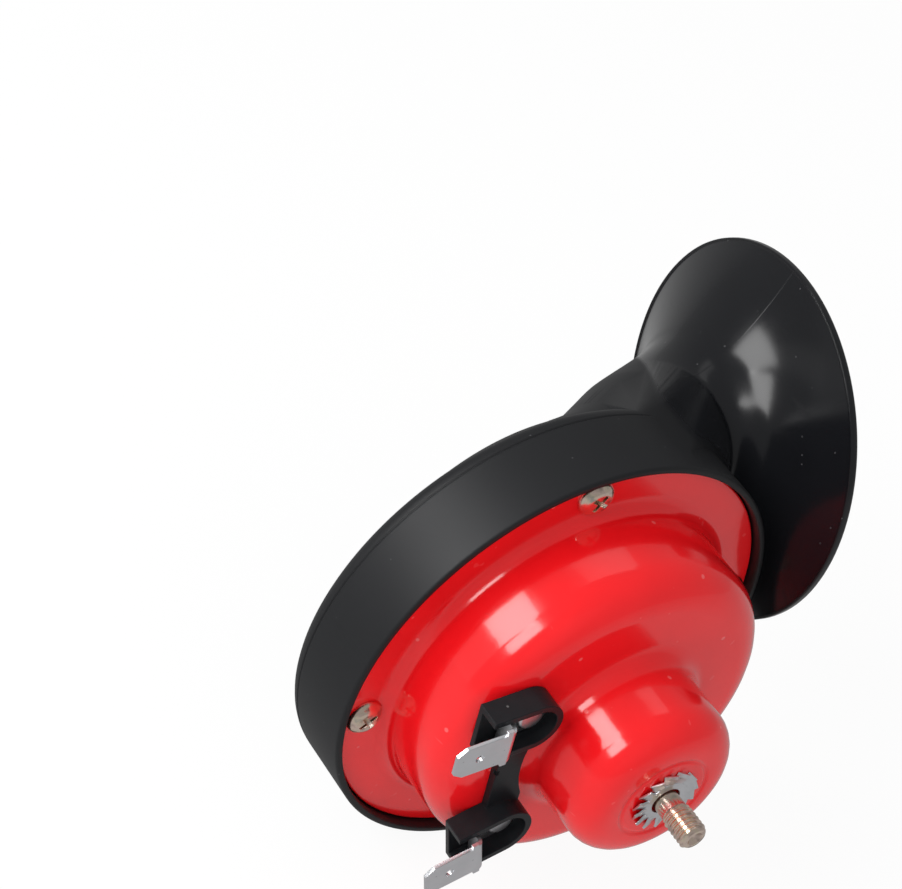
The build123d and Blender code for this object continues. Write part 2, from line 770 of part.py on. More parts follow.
# ---------------------------------------------------------------- writing the pieces
def save(name, shape):
    """Move a piece from the flange's frame to the stud's seat and write it."""
    solids = shape if isinstance(shape, list) else [shape]
    placed = [Pos(0, stud_seat, 0) * solid for solid in solids]
    export = placed[0] if len(placed) == 1 else Compound(children=placed)
    export.label = name
    export_step(export, f"parts/{name}.step")


def main():
    os.makedirs("parts", exist_ok=True)
    trumpet_rear, trumpet_front = make_trumpet()
    save("trumpet_rear", trumpet_rear)
    save("trumpet_front", trumpet_front)
    save("housing", make_housing())
    save("flange_screws", [make_screw(angle) for angle in screw_angles])
    save("core_stud", make_core_stud())
    save("lock_washer", make_lock_washer())
    save("bobbin", make_bobbin())
    save("coil", make_coil())
    save("yoke_plate", make_yoke())
    save("armature", make_armature())
    save("armature_washer", make_armature_washer())
    save("armature_nut", make_armature_nut())
    save("diaphragm", make_diaphragm())
    save("housing_gasket", make_gasket(housing_sheet))
    save("trumpet_gasket", make_gasket(diaphragm_front))
    save("terminal_insulator", make_terminal_insulator())
    save("terminal_blade_upper", make_blade(upper_rivet, upper_blade_angle))
    save("terminal_blade_lower", make_blade(lower_rivet, lower_blade_angle))
    save("terminal_rivets", [make_terminal_rivet(upper_rivet), make_terminal_rivet(lower_rivet)])
    save("inner_insulator", make_inner_insulator())
    block, leaf, strip, spacers, tips, rivet = make_contact_parts()
    save("contact_block", block)
    save("contact_leaf", leaf)
    save("contact_strip", strip)
    save("contact_spacers", spacers)
    save("contact_tips", tips)
    save("contact_rivet", rivet)


main()
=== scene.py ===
import math

import bmesh
import bpy
from mathutils import Matrix, Vector


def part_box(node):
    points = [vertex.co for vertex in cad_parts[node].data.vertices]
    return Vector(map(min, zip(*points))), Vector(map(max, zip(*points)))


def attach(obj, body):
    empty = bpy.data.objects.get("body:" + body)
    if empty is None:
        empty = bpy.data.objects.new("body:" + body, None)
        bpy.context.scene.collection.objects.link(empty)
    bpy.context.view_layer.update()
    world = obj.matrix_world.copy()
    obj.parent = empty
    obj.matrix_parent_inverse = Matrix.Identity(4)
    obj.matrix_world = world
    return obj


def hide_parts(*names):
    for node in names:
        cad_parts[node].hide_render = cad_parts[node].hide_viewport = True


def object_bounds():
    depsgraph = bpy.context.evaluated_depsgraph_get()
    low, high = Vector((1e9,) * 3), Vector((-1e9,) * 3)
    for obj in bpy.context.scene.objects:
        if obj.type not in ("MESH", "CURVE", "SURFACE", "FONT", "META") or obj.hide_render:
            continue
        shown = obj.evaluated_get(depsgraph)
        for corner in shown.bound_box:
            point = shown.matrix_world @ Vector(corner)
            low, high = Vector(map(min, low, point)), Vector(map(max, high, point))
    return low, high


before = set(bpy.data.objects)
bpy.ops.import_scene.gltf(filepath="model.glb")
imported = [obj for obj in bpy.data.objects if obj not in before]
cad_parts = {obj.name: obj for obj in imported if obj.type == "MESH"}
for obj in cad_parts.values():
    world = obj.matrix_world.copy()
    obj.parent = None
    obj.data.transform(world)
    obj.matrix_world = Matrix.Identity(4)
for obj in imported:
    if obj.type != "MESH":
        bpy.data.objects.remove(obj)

bl_info = {
    "name": "Disc Horn Studio",
    "version": (1, 0, 0),
    "blender": (4, 5, 0),
    "location": "View3D > Sidebar > Horn",
    "description": "Dresses the packed disc horn and sets its stage",
    "category": "Object",
}

CAD_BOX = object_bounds()
ROOT = "root"
FULL_TURN = 2 * math.pi

# Depths along Y are measured from FLANGE, the rear face of the housing's flange.
HOUSING_SHEET = 0.0012
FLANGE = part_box("housing")[1].y - HOUSING_SHEET
TURRET_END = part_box("housing")[0].y - FLANGE
STUD_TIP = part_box("core_stud")[0].y - FLANGE
CORE_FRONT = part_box("core_stud")[1].y - FLANGE
SCREW_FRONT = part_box("flange_screws")[1].y - FLANGE
WASHER_SPACE = 0.001
WASHER_SEAT = TURRET_END - WASHER_SPACE
DRUM_SEAT = 0.0024


def length(name, default, description):
    """A size in metres for the sidebar."""
    return bpy.props.FloatProperty(
        name=name, default=default, description=description,
        unit="LENGTH", subtype="DISTANCE", precision=5)


def colour(name, default, description):
    """A colour for the sidebar."""
    return bpy.props.FloatVectorProperty(
        name=name, default=default, description=description,
        subtype="COLOR", size=3, min=0.0, max=1.0)


def level(name, default, description, unit="NONE"):
    """A light power or brightness for the sidebar."""
    return bpy.props.FloatProperty(
        name=name, default=default, description=description, min=0.0, unit=unit)


class HornSizes(bpy.types.PropertyGroup):
    """Sizes of the dressed pieces, in the flange's frame."""

    dome_radius: length("Dome radius", 0.0374, "Outside radius of the housing's dome")
    dome_depth: length("Dome depth", 0.021, "Depth of the dome behind the flange")
    dome_rounding: length("Dome rounding", 0.0076, "Rounding of the dome's rear edge")
    turret_radius: length("Turret radius", 0.0181, "Outside radius of the coil turret")
    turret_rounding: length("Turret rounding", 0.0066, "Rounding of the turret's rear edge")
    turret_bend: length("Turret bend", 0.0038, "Hollow rounding between the turret and the dome")
    flange_radius: length("Flange radius", 0.0476, "Outside radius of the housing's flange")
    flange_bend: length("Flange bend", 0.0034, "Hollow rounding between the flange and the dome")
    drum_radius: length("Drum radius", 0.0494, "Outside radius of the trumpet's drum")
    drum_front: length("Drum front", 0.0173, "Front face of the drum")
    drum_edge: length("Drum edge", 0.0039, "Rounding of the drum's front edge")
    drum_part_line: length("Part line", 0.0133, "Depth of the fine line round the drum")
    lip_height: length("Lip height", 0.0022, "How far the drum's lip stands behind the flange")
    duct_wall: length("Duct wall", 0.002, "Wall of the spiral duct and the bell")
    bell_radius: length("Bell radius", 0.0395, "Outside radius of the bell behind the bead")
    stud_radius: length("Stud radius", 0.003, "Radius over the stud's thread")
    thread_pitch: length("Thread pitch", 0.001, "Pitch of the stud's thread")
    thread_depth: length("Thread depth", 0.00052, "Depth of the stud's thread")
    washer_radius: length("Washer radius", 0.0071, "Outside radius of the toothed washer")
    washer_teeth: bpy.props.IntProperty(
        name="Washer teeth", default=14, min=6, max=30, description="Number of twisted teeth")
    screw_head_radius: length("Screw head radius", 0.0039, "Radius of the flange screws' heads")
    screw_head_height: length("Screw head height", 0.0020, "Height of the flange screws' heads")
    edge_softness: length("Edge softness", 0.00018, "Width of the small rounding on cut edges")


class HornColours(bpy.types.PropertyGroup):
    """Colours of the finishes."""

    trumpet: colour("Trumpet", (0.0062, 0.0066, 0.0080), "Glossy black moulding")
    paint: colour("Housing paint", (0.76, 0.0070, 0.0105), "Red enamel on the housing")
    zinc: colour("Zinc", (0.86, 0.87, 0.90), "Clear zinc plating")
    yellow_zinc: colour("Yellow zinc", (0.88, 0.74, 0.58), "Passivated zinc on screws and stud")
    terminal: colour("Terminal insulator", (0.0075, 0.0082, 0.0095), "Black terminal moulding")
    floor: colour("Floor", (0.93, 0.93, 0.93), "Floor and backdrop")


class HornStage(bpy.types.PropertyGroup):
    """Light levels of the stage."""

    key: level("Key light", 2.1, "Power of the main softbox", "POWER")
    fill: level("Fill light", 5.5, "Power of the wide front fill", "POWER")
    gloss: level("Surround in reflections", 0.30, "Brightness of the surround in glossy paint")
    sky: level("Surround", 0.56, "Brightness of the surround as a light")


# ---- shader writing
class Value:
    """A shader socket that can be used in ordinary arithmetic."""

    def __init__(self, graph, socket):
        self.graph = graph
        self.socket = socket

    def __add__(self, other):
        return self.graph.maths("ADD", self, other)

    def __radd__(self, other):
        return self.graph.maths("ADD", other, self)

    def __sub__(self, other):
        return self.graph.maths("SUBTRACT", self, other)

    def __rsub__(self, other):
        return self.graph.maths("SUBTRACT", other, self)

    def __mul__(self, other):
        return self.graph.maths("MULTIPLY", self, other)

    def __rmul__(self, other):
        return self.graph.maths("MULTIPLY", other, self)


class Graph:
    """The shader nodes of a material or a world under construction."""

    def __init__(self, owner):
        owner.use_nodes = True
        self.tree = owner.node_tree
        self.tree.nodes.clear()

    def make(self, kind, settings, sockets):
        """Add a node, set it up, fill its sockets and return its outputs by name or number."""
        node = self.tree.nodes.new(kind)
        for name, value in settings.items():
            if name == "stops":
                ramp = node.color_ramp.elements
                while len(ramp) < len(value):
                    ramp.new(0.5)
                for element, (position, tint) in zip(ramp, value):
                    element.position = position
                    element.color = rgba(tint)
            else:
                setattr(node, name, value)
        for name, value in sockets.items():
            if isinstance(value, Value):
                self.tree.links.new(value.socket, node.inputs[name])
            else:
                node.inputs[name].default_value = value
        outputs = {}
        for number, socket in enumerate(node.outputs):
            outputs[number] = Value(self, socket)
            outputs.setdefault(socket.name, outputs[number])
        return outputs

    def maths(self, operation, *values):
        """One Math node, on values or numbers."""
        return self.make("ShaderNodeMath", {"operation": operation}, dict(enumerate(values)))[0]

    def ranged(self, value, low, high):
        """Run evenly from low, where the value is 0, to high, where it is 1."""
        return self.make("ShaderNodeMapRange", {}, {"Value": value, "To Min": low, "To Max": high})[0]


class Finish(Graph):
    """A material under construction."""

    def __init__(self, name):
        self.material = bpy.data.materials.new(name)
        super().__init__(self.material)
        self.place = self.make("ShaderNodeTexCoord", {}, {})["Object"]

    def noise(self, scale, detail=3.0, roughness=0.5, place=None):
        """Cloudy noise from 0 to 1, in object coordinates unless a place is given."""
        return self.make("ShaderNodeTexNoise", {}, {
            "Vector": place or self.place, "Scale": scale, "Detail": detail, "Roughness": roughness})[0]

    def drawn(self, scale, squeeze, turn):
        """Turned object coordinates, squeezed along one axis, for brushed or drawn marks."""
        return self.make("ShaderNodeMapping", {}, {
            "Vector": self.place, "Scale": (scale, scale * squeeze, scale), "Rotation": turn})[0]

    def step(self, value, low, high):
        """Ease from 0 at low to 1 at high."""
        return self.make("ShaderNodeMapRange", {"interpolation_type": "SMOOTHSTEP"}, {
            "Value": value, "From Min": low, "From Max": high})[0]

    def mix(self, factor, first, second):
        """Mix two colours, in the colour inputs 6 and 7 of the Mix node."""
        tints = [tint if isinstance(tint, Value) else rgba(tint) for tint in (first, second)]
        return self.make("ShaderNodeMix", {"data_type": "RGBA"}, {0: factor, 6: tints[0], 7: tints[1]})[2]

    def specks(self, scale, size, share):
        """Scattered tiny dots, 1 on a dot: dust or pin marks."""
        cells = self.make("ShaderNodeTexVoronoi", {}, {"Vector": self.place, "Scale": scale})
        chosen = self.make("ShaderNodeSeparateColor", {}, {0: cells["Color"]})
        dots = 1.0 - self.step(cells["Distance"], size * 0.6, size)
        return dots * self.step(chosen[0], 1.0 - share, 1.0 - share + 0.01)

    def scratches(self, scale, turn, share):
        """Fine straight hairlines, 1 on a line."""
        lines = self.noise(1.0, 1.0, 0.5, self.drawn(scale, 0.035, turn))
        return self.step(lines, 1.0 - share, 1.0 - share + 0.02)

    def bump(self, height, depth, strength=1.0, rounding=0.0):
        """A normal from a height, over edges that are rounded in the shading alone."""
        sockets = {"Height": height, "Distance": depth, "Strength": strength}
        if rounding > 0:
            sockets["Normal"] = self.make("ShaderNodeBevel", {"samples": 4}, {"Radius": rounding})[0]
        return self.make("ShaderNodeBump", {}, sockets)[0]

    def surface(self, **sockets):
        """End with one Principled shader and return the material."""
        inputs = {name.replace("_", " ").title().replace("Ior", "IOR"): value
                  for name, value in sockets.items()}
        shader = self.make("ShaderNodeBsdfPrincipled", {}, inputs)[0]
        self.make("ShaderNodeOutputMaterial", {}, {"Surface": shader})
        return self.material


def rgba(tint):
    """The colour with full alpha."""
    return (*tint, 1.0)


def shade(tint, share):
    """The colour made darker or lighter."""
    return [min(1.0, part * share) for part in tint]


# Radii where the drum's satin fades out, and the line and width of the mould seam on the flare.
DRUM_SATIN = (0.0497, 0.0510)
SEAM_DEPTH = 0.0314
SEAM_SLOPE = 0.18
SEAM_REACH = 0.057
SEAM_WIDTH = (0.00006, 0.00018)
SEAM_START = (0.030, 0.036)


def gloss_black(name):
    """Glossy black plastic, satin on the drum, with a mould seam, flow waves, hairlines and dust."""
    tint = bpy.context.scene.horn_colours.trumpet
    finish = Finish(name)
    across = finish.make("ShaderNodeSeparateXYZ", {}, {0: finish.place})
    broad = finish.noise(55.0, 2.0)
    fine = finish.noise(900.0, 2.0)
    lines = finish.scratches(420.0, (0.3, 0.5, 0.9), 0.27)
    dust = finish.specks(520.0, 0.11, 0.10)
    from_axis = finish.maths("SQRT", across["X"] * across["X"] + across["Z"] * across["Z"])
    satin = 1.0 - finish.step(from_axis, *DRUM_SATIN)
    seam_at = FLANGE + SEAM_DEPTH - SEAM_SLOPE * SEAM_REACH + across["X"] * SEAM_SLOPE
    from_seam = finish.maths("ABSOLUTE", across["Y"] - seam_at)
    seam = (1.0 - finish.step(from_seam, *SEAM_WIDTH)) * finish.step(across["X"], *SEAM_START)
    plastic = finish.mix(broad, shade(tint, 0.85), shade(tint, 1.2))
    return finish.surface(
        base_color=finish.mix(dust * 0.5, plastic, (0.10, 0.10, 0.105)),
        roughness=0.13 + broad * 0.08 + lines * 0.06 + dust * 0.2 + satin * 0.34,
        ior=1.5,
        specular_ior_level=0.40,
        normal=finish.bump(broad * 0.5 + fine * 0.02 + seam * 0.9, 0.00006, 0.8, 0.0005),
    )


def grained_black(name):
    """The same plastic with the fine spark-eroded grain of the bare panel."""
    tint = bpy.context.scene.horn_colours.trumpet
    finish = Finish(name)
    grain = finish.noise(2600.0, 2.0, 0.6)
    return finish.surface(
        base_color=finish.mix(grain, tint, shade(tint, 1.8)),
        roughness=0.42 + grain * 0.12,
        normal=finish.bump(grain, 0.00012, 0.9),
    )


def red_enamel(name):
    """Thick glossy enamel: slight orange peel, soft runs, hairlines and specks under the gloss."""
    tint = bpy.context.scene.horn_colours.paint
    finish = Finish(name)
    broad = finish.noise(70.0, 3.0)
    peel = finish.noise(420.0, 2.0)
    lines = finish.scratches(380.0, (0.9, 0.2, 0.6), 0.26)
    specks = finish.specks(300.0, 0.17, 0.12)
    dark = finish.specks(190.0, 0.10, 0.05)
    paint = finish.mix(broad, shade(tint, 0.90), shade(tint, 1.10))
    pale = finish.mix(specks * 0.35 + lines * 0.10, paint, (0.85, 0.25, 0.25))
    return finish.surface(
        base_color=finish.mix(dark * 0.8, pale, (0.10, 0.004, 0.005)),
        roughness=0.12 + broad * 0.06 + lines * 0.08,
        ior=1.5,
        coat_weight=0.4,
        coat_roughness=0.035,
        normal=finish.bump(broad * 0.8 + peel * 0.10 + specks * 0.25, 0.00016, 0.8, 0.0004),
    )


def clear_zinc(name):
    """Zinc plate whose tint wanders a little, with brushed or rolled marks."""
    tint = bpy.context.scene.horn_colours.zinc
    finish = Finish(name)
    patches = finish.noise(260.0, 3.0)
    streaks = finish.noise(1.0, 3.0, 0.6, finish.drawn(1500.0, 0.08, (0.2, 0.4, 0.3)))
    pits = finish.specks(900.0, 0.2, 0.15)
    plate = finish.mix(patches, tint, shade(tint, 0.86))
    return finish.surface(
        base_color=finish.mix(pits * 0.5, plate, shade(tint, 0.5)),
        metallic=1.0,
        roughness=0.22 + patches * 0.12 + streaks * 0.12,
        normal=finish.bump(streaks * 0.5 + patches * 0.3, 0.00004, 0.7, 0.00012),
    )


def yellow_zinc(name):
    """Passivated zinc with the straw, rose and brown cast of its film."""
    tint = bpy.context.scene.horn_colours.yellow_zinc
    finish = Finish(name)
    film = finish.noise(420.0, 2.0)
    marks = finish.noise(1500.0, 2.0)
    grey, rose, brown = (0.52, 0.52, 0.46), (0.90, 0.72, 0.62), (0.55, 0.44, 0.38)
    stops = ((0.28, grey), (0.42, tint), (0.55, rose), (0.70, brown))
    return finish.surface(
        base_color=finish.make("ShaderNodeValToRGB", {"stops": stops}, {0: film})[0],
        metallic=1.0,
        roughness=0.14 + marks * 0.14,
        normal=finish.bump(marks, 0.00003, 0.6, 0.00010),
    )


def satin_black(name):
    """Black terminal plastic with a dull moulded skin."""
    tint = bpy.context.scene.horn_colours.terminal
    finish = Finish(name)
    cloud = finish.noise(300.0, 3.0)
    grain = finish.noise(2200.0, 2.0)
    dust = finish.specks(520.0, 0.16, 0.12)
    plastic = finish.mix(cloud, tint, shade(tint, 1.7))
    return finish.surface(
        base_color=finish.mix(dust * 0.5, plastic, (0.2, 0.2, 0.2)),
        roughness=0.30 + cloud * 0.10 + dust * 0.2,
        specular_ior_level=0.18,
        normal=finish.bump(grain * 0.5 + cloud, 0.00005, 0.7, 0.00025),
    )


def winding(name):
    """Rows of enamelled copper wire, with painted shade in the grooves between the wires and a painted
    highlight on their crests.
    """
    wire_pitch = 0.0007
    finish = Finish(name)
    across = finish.make("ShaderNodeSeparateXYZ", {}, {0: finish.place})
    turns = finish.maths("SINE", across["Y"] * (FULL_TURN / wire_pitch))
    return finish.surface(
        # The base colour runs from dark copper in the grooves to light copper on the crests: painted shade
        # and painted highlight.
        base_color=finish.mix(turns * 0.5 + 0.5, (0.22, 0.06, 0.02), (0.66, 0.26, 0.10)),
        metallic=0.9,
        roughness=0.28 + finish.noise(500.0) * 0.1,
        normal=finish.bump(turns, 0.00015),
    )


# Dark tone, light tone, metallic, roughness and the scale of the clouding.
PLAIN_FINISHES = {
    "soft_iron": ((0.28, 0.28, 0.29), (0.42, 0.42, 0.43), 1.0, 0.35, 500.0),
    "bobbin_nylon": ((0.70, 0.67, 0.58), (0.78, 0.76, 0.70), 0.0, 0.40, 300.0),
    "diaphragm_steel": ((0.50, 0.51, 0.53), (0.60, 0.61, 0.63), 1.0, 0.25, 900.0),
    "gasket_paper": ((0.30, 0.25, 0.17), (0.42, 0.36, 0.26), 0.0, 0.80, 1500.0),
    "fibre_board": ((0.20, 0.09, 0.045), (0.32, 0.16, 0.08), 0.0, 0.55, 1200.0),
    "contact_steel": ((0.50, 0.50, 0.51), (0.66, 0.66, 0.67), 1.0, 0.28, 700.0),
    "leaf_bronze": ((0.60, 0.36, 0.13), (0.72, 0.48, 0.20), 1.0, 0.28, 700.0),
}


def plain_finish(name):
    """A quiet two-tone finish for the pieces inside the housing."""
    dark, light, metallic, roughness, scale = PLAIN_FINISHES[name]
    finish = Finish(name)
    cloud = finish.noise(scale, 4.0)
    return finish.surface(
        base_color=finish.mix(cloud, dark, light),
        metallic=metallic,
        roughness=roughness + cloud * 0.15,
        normal=finish.bump(cloud, 0.00005, 0.6),
    )


MADE_FINISHES = {made.__name__: made for made in (
    gloss_black, grained_black, red_enamel, clear_zinc, yellow_zinc, satin_black, winding)}


def finish_named(name):
    """The named material, built the first time that it is asked for."""
    return bpy.data.materials.get(name) or MADE_FINISHES.get(name, plain_finish)(name)


# ---- mesh making
def facing_out(shape):
    """The same mesh with every face turned outwards."""
    bmesh.ops.recalc_face_normals(shape, faces=shape.faces[:])
    return shape


def lathe(corners, steps=192, closed=True):
    """Spin a half section about the horn's axis. Corners are (radius, depth, rounding)."""
    shape = bmesh.new()
    verts = [shape.verts.new((radius, depth, 0.0)) for radius, depth, rounding in corners]
    pairs = list(zip(verts, verts[1:]))
    if closed:
        pairs.append((verts[-1], verts[0]))
    for first, second in pairs:
        shape.edges.new((first, second))
    for vert, (radius, depth, rounding) in zip(verts, corners):
        if rounding > 0:
            bmesh.ops.bevel(shape, geom=[vert], offset=rounding, offset_type="OFFSET", segments=8,
                            profile=0.5, affect="VERTICES", material=-1)
    bmesh.ops.spin(shape, geom=shape.verts[:] + shape.edges[:], cent=(0, 0, 0), axis=(0, 1, 0),
                   angle=FULL_TURN, steps=steps, use_merge=True)
    bmesh.ops.remove_doubles(shape, verts=shape.verts[:], dist=1e-6)
    return facing_out(shape)


def plug(radius, low, high):
    """A plain cylinder on the horn's axis between two depths."""
    return lathe([(0.0, low, 0.0), (radius, low, 0.0), (radius, high, 0.0), (0.0, high, 0.0)], closed=False)


def scratch_object(shape, name, material_index=0):
    """A loose object to cut or join."""
    for face in shape.faces:
        face.material_index = material_index
    mesh = bpy.data.meshes.new(name)
    shape.to_mesh(mesh)
    shape.free()
    item = bpy.data.objects.new(name, mesh)
    bpy.context.scene.collection.objects.link(item)
    return item


def combine(base, other, operation):
    """Join or cut a loose object with another for good, and delete the other."""
    modifier = base.modifiers.new(operation, "BOOLEAN")
    modifier.object = other
    modifier.operation = operation
    modifier.solver = "EXACT"
    graph = bpy.context.evaluated_depsgraph_get()
    result = bpy.data.meshes.new_from_object(base.evaluated_get(graph))
    base.modifiers.clear()
    base.data = result
    bpy.data.objects.remove(other)
    if not result.polygons:
        raise RuntimeError(f"{base.name}: {operation} left nothing")
    return base


def put_in_place(piece, name, finishes, nodes, sharp_angle, moved=True):
    """Name a finished object, shade it, move its mesh to the row's frame and tie it to the horn."""
    piece.name = name
    mesh = piece.data
    mesh.name = name
    if moved:
        mesh.transform(Matrix.Translation((0, FLANGE, 0)))
    mesh.materials.clear()
    for finish in finishes:
        mesh.materials.append(finish_named(finish))
    mesh.polygons.foreach_set("use_smooth", [True] * len(mesh.polygons))
    mesh.set_sharp_from_angle(angle=math.radians(sharp_angle))
    mesh.update()
    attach(piece, ROOT)
    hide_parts(*nodes)


def bevelled_copy(node, name, finish, slot, width):
    """A merged copy of a CAD node, with its sharp edges softened where a width is given."""
    sharp_angle = 30.0
    shape = bmesh.new()
    shape.from_mesh(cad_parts[node].data)
    bmesh.ops.remove_doubles(shape, verts=shape.verts[:], dist=2e-6)
    bmesh.ops.dissolve_limit(
        shape, angle_limit=math.radians(1.5), verts=shape.verts[:], edges=shape.edges[:])
    piece = scratch_object(shape, name)
    put_in_place(piece, name, [finish], [node], sharp_angle, moved=False)
    if width > 0:
        soften = piece.modifiers.new("Soft edges", "BEVEL")
        soften.width = width
        soften.segments = 2
        soften.limit_method = "ANGLE"
        soften.angle_limit = math.radians(sharp_angle)
        soften.harden_normals = True


# ---- trumpet
def eased(value):
    """Ease from 0 to 1 with level, unbent ends."""
    limited = min(max(value, 0.0), 1.0)
    return limited ** 3 * (limited * (6 * limited - 15) + 10)


# The duct's centre line and radius, repeated from the solid model.
DUCT_START_ANGLE = 207.0
DUCT_START_RADIUS = 0.0042
DUCT_START_DISTANCE = 0.038
DUCT_START_GROWTH = 0.65
DUCT_TOP_RADIUS = 0.0145
DUCT_TOP_DISTANCE = 0.0291
DUCT_CENTRE_DEPTH = 0.0138
NECK_RADIUS = 0.0169
NECK_GROWTH = 0.75
BELL_REACH = 0.0573
BELL_LENGTH = 0.0276
BELL_FLARE = 2.85
BELL_STRAIGHT = 0.011
BELL_AXIS_DEPTH = 0.0278
BELL_AXIS_HEIGHT = 0.0244
BELL_TILT = 0.13
BELL_LIFT = 0.03
BELL_LEAN_START = 0.020
BELL_OUT = Vector((1, -BELL_TILT, BELL_LIFT)).normalized()
WALL_SPARE = 1.25

# The bead round the mouth. Its front corner runs (back from the face, in from the edge).
BEAD_STEP = 0.0005
BEAD_BACK = 0.0003
BEAD_BACK_CORNER = 0.0002
BEAD_FRONT = 0.0017
BEAD_CORNER = ((0.0008, 0.0), (0.00045, 0.00008), (0.00018, 0.0003), (0.00004, 0.00055), (0.0, 0.0008))
BORE_PAST_RIM = (0.0007, 0.0014, 0.0020)

# The web: where it leaves the drum as (X, depth), and where along X it is drawn over the neck.
WEB_STARTS = ((0.0156, DRUM_SEAT), (0.0134, 0.0068))
WEB_FRONT_START = 0.0110
WEB_FRONT_TOP = 0.0481
WEB_SINK = 0.0001
WEB_FOOT = 0.028
WEB_STATIONS = (0.014, 0.025, 0.036)


def duct_centre(along):
    """Centre of the duct from its blind end (0) over the drum's top (0.5) to the rim (1)."""
    if along <= 0.5:
        part = along / 0.5
        distance = DUCT_TOP_DISTANCE + (DUCT_START_DISTANCE - DUCT_TOP_DISTANCE) * (1 - part) ** 2
        angle = math.radians(DUCT_START_ANGLE + (90 - DUCT_START_ANGLE) * part)
        return Vector((distance * math.cos(angle), DUCT_CENTRE_DEPTH, distance * math.sin(angle)))
    x = BELL_REACH * (along - 0.5) / 0.5
    level_at = BELL_REACH - BELL_STRAIGHT
    out = eased(x / level_at)
    past = max(x - level_at, 0)
    lean = (BELL_STRAIGHT ** 2 - past ** 2) / (2 * BELL_STRAIGHT)
    lean *= eased((x - BELL_LEAN_START) / (level_at - BELL_LEAN_START))
    return Vector((
        x,
        DUCT_CENTRE_DEPTH + (BELL_AXIS_DEPTH - DUCT_CENTRE_DEPTH) * out + BELL_TILT * lean,
        DUCT_TOP_DISTANCE + (BELL_AXIS_HEIGHT - DUCT_TOP_DISTANCE) * out - BELL_LIFT * lean))


def duct_radius(along, bell_radius):
    """Outside radius of the duct at the same place."""
    if along <= 0.5:
        growth = (along / 0.5) ** DUCT_START_GROWTH
        return DUCT_START_RADIUS + (DUCT_TOP_RADIUS - DUCT_START_RADIUS) * growth
    x = BELL_REACH * (along - 0.5) / 0.5
    bell_start = BELL_REACH - BELL_LENGTH
    growth = min(x / bell_start, 1) ** NECK_GROWTH
    flare = max(x - bell_start, 0) / BELL_LENGTH
    radius = DUCT_TOP_RADIUS + (NECK_RADIUS - DUCT_TOP_RADIUS) * growth
    return radius + (bell_radius - NECK_RADIUS) * flare ** BELL_FLARE


def ring_at(shape, centre, direction, radius, segments):
    """One round section of the duct, as a loop of edges."""
    forward = direction.normalized()
    side = (Vector((0, 1, 0)) - forward * forward.y).normalized()
    over = forward.cross(side)
    turn = Matrix((side, over, forward)).transposed().to_4x4()
    turn.translation = centre
    made = bmesh.ops.create_circle(shape, cap_ends=False, radius=radius, segments=segments, matrix=turn)
    return list({edge for vert in made["verts"] for edge in vert.link_edges})


def around(along):
    """Two places close before and after one on the duct."""
    return max(along - 0.004, 0.0), min(along + 0.004, 1.0)


def heading_at(along):
    """The way that the duct runs."""
    behind, ahead = around(along)
    return duct_centre(ahead) - duct_centre(behind)


def slope_at(along, bell_radius):
    """How fast the duct's radius grows."""
    behind, ahead = around(along)
    return (duct_radius(ahead, bell_radius) - duct_radius(behind, bell_radius)) / heading_at(along).length


def blind_end_rings():
    """Rings (centre, heading, radius) of the half ball on the duct's blind end."""
    steps = 8
    start = duct_centre(0)
    heading = duct_centre(0.01) - start
    turns = [math.pi / 2 * step / steps for step in range(1, steps)]
    return [(start - heading.normalized() * DUCT_START_RADIUS * math.cos(turn), heading,
             DUCT_START_RADIUS * math.sin(turn)) for turn in turns]


def duct_rings(sizes, wall):
    """Rings along the duct from its blind end to the rim, inside a wall."""
    count = 150
    rings = []
    for index in range(count + 1):
        along = index / count
        spare = math.hypot(1, WALL_SPARE * slope_at(along, sizes.bell_radius))
        heading = BELL_OUT if index == count else heading_at(along)
        rings.append((duct_centre(along), heading, duct_radius(along, sizes.bell_radius) - wall * spare))
    return rings


def bridged(rings):
    """Bridge round sections into one closed skin."""
    shape = bmesh.new()
    loops = [ring_at(shape, centre, heading, radius, 128) for centre, heading, radius in rings]
    for first, second in zip(loops, loops[1:]):
        bmesh.ops.bridge_loops(shape, edges=first + second)
    for loop in (loops[0], loops[-1]):
        bmesh.ops.contextual_create(shape, geom=loop)
    return facing_out(shape)


def duct_skin(sizes):
    """The outside of the duct and the bell, from the blind end to the bead's face."""
    rim = duct_centre(1.0)
    edge = sizes.bell_radius + BEAD_STEP
    bead = [(rim - BELL_OUT * BEAD_BACK, BELL_OUT, edge - BEAD_BACK_CORNER), (rim, BELL_OUT, edge)]
    for back, inward in BEAD_CORNER:
        bead.append((rim + BELL_OUT * (BEAD_FRONT - back), BELL_OUT, edge - inward))
    return bridged(blind_end_rings() + duct_rings(sizes, 0.0) + bead)


def duct_bore(sizes):
    """The inside of the duct and the bell, run on past the rim at the flare's slope."""
    rings = duct_rings(sizes, sizes.duct_wall)
    rim, slope = duct_centre(1.0), slope_at(1.0, sizes.bell_radius)
    mouth = rings[-1][2]
    past = [(rim + BELL_OUT * step, BELL_OUT, mouth + step * slope) for step in BORE_PAST_RIM]
    return bridged(rings + past)


